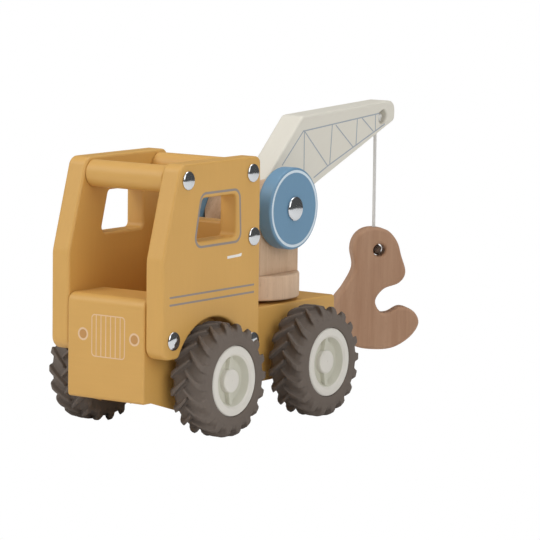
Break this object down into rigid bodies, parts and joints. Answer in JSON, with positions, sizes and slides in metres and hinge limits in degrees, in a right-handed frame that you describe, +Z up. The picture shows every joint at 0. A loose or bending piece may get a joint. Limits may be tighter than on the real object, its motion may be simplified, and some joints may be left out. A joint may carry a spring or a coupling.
{
  "type": "toy crane truck",
  "caption": "Wooden toy crane truck with an open cab, rubber-tyred rolling wheels, a slewing turret, a boom that tilts and a hook hanging on a cord.",
  "frame": {"origin": "on the ground under the middle of the truck's overall box, with the boom pointing back and the hook hanging at rest", "axes": "+X to the truck's right side as seen from its front, +Y from the nose to the boom's tip, +Z up"},
  "size_m": [0.0938, 0.2442, 0.1483],
  "materials": {
    "yellow_paint": "mustard-yellow water-based paint on wood, satin",
    "cream_paint": "cream paint on wood, satin, with thin printed grey-blue lines",
    "blue_paint": "dusty blue paint on wood with a pale printed ring, satin",
    "raw_beech": "bare sanded beech, matt",
    "brown_stain": "brown-stained wood, matt",
    "tyre_rubber": "grey-brown soft rubber, matt",
    "ivory_plastic": "ivory moulded plastic, semi-gloss",
    "chrome": "polished domed caps",
    "steel": "plain zinc-plated steel",
    "white_cord": "white braided cord, matt"
  },
  "bodies": {
    "chassis": {"chassis_block": "yellow_paint", "nose_block": "yellow_paint", "back_wall": "yellow_paint", "front_roof_bar": "yellow_paint", "rear_roof_bar": "yellow_paint", "side_panel_right": "yellow_paint", "side_panel_left": "yellow_paint", "front_bar_screw_right": "chrome", "front_bar_screw_left": "chrome", "rear_bar_screw_right": "chrome", "rear_bar_screw_left": "chrome", "wall_screw_right": "chrome", "wall_screw_left": "chrome", "nose_screw_right": "chrome", "nose_screw_left": "chrome", "chassis_screw_right": "chrome", "chassis_screw_left": "chrome", "slew_washer": "steel", "slew_screw": "steel"},
    "front_axle": {"front_axle_rod": "steel", "front_tyre_right": "tyre_rubber", "front_rim_right": "ivory_plastic", "front_hub_cap_right": "ivory_plastic", "front_tyre_left": "tyre_rubber", "front_rim_left": "ivory_plastic", "front_hub_cap_left": "ivory_plastic"},
    "rear_axle": {"rear_axle_rod": "steel", "rear_tyre_right": "tyre_rubber", "rear_rim_right": "ivory_plastic", "rear_hub_cap_right": "ivory_plastic", "rear_tyre_left": "tyre_rubber", "rear_rim_left": "ivory_plastic", "rear_hub_cap_left": "ivory_plastic"},
    "turret": {"turntable": "raw_beech", "turret_fork": "raw_beech"},
    "boom": {"boom": "cream_paint", "boom_axle": "raw_beech", "disc_right": "blue_paint", "disc_left": "blue_paint", "disc_bolt_right": "chrome", "disc_bolt_left": "chrome", "boom_knot": "white_cord"},
    "cord_bend": {"cord_bend": "white_cord"},
    "cord": {"cord": "white_cord"},
    "hook": {"hook": "brown_stain", "hook_knot": "white_cord"}
  },
  "joints": [
    {"name": "front_axle_roll", "type": "hinge", "parent": "chassis", "child": "front_axle", "pos_m": [0, -0.08211, 0.0275], "axis": [1, 0, 0], "continuous": true},
    {"name": "rear_axle_roll", "type": "hinge", "parent": "chassis", "child": "rear_axle", "pos_m": [0, -0.00381, 0.0275], "axis": [1, 0, 0], "continuous": true},
    {"name": "turret_slew", "type": "hinge", "parent": "chassis", "child": "turret", "pos_m": [0, -0.00671, 0.0555], "axis": [0, 0, 1], "range_deg": [-125, 125]},
    {"name": "boom_luff", "type": "hinge", "parent": "turret", "child": "boom", "pos_m": [0, -0.00671, 0.1023], "axis": [1, 0, 0], "range_deg": [-9, 40]},
    {"name": "cord_plumb", "type": "hinge", "parent": "boom", "child": "cord_bend", "pos_m": [0, 0.10099, 0.13471], "axis": [1, 0, 0], "range_deg": [-40, 9]},
    {"name": "cord_swing", "type": "hinge", "parent": "cord_bend", "child": "cord", "pos_m": [0, 0.10099, 0.12981], "axis": [1, 0, 0], "range_deg": [-15, 25]},
    {"name": "hook_twist", "type": "hinge", "parent": "cord", "child": "hook", "pos_m": [0, 0.10099, 0.075], "axis": [0, 0, 1], "range_deg": [-180, 180]}
  ],
  "couplings": [
    {"joint": "cord_plumb", "follows": "boom_luff", "ratio": -1}
  ]
}
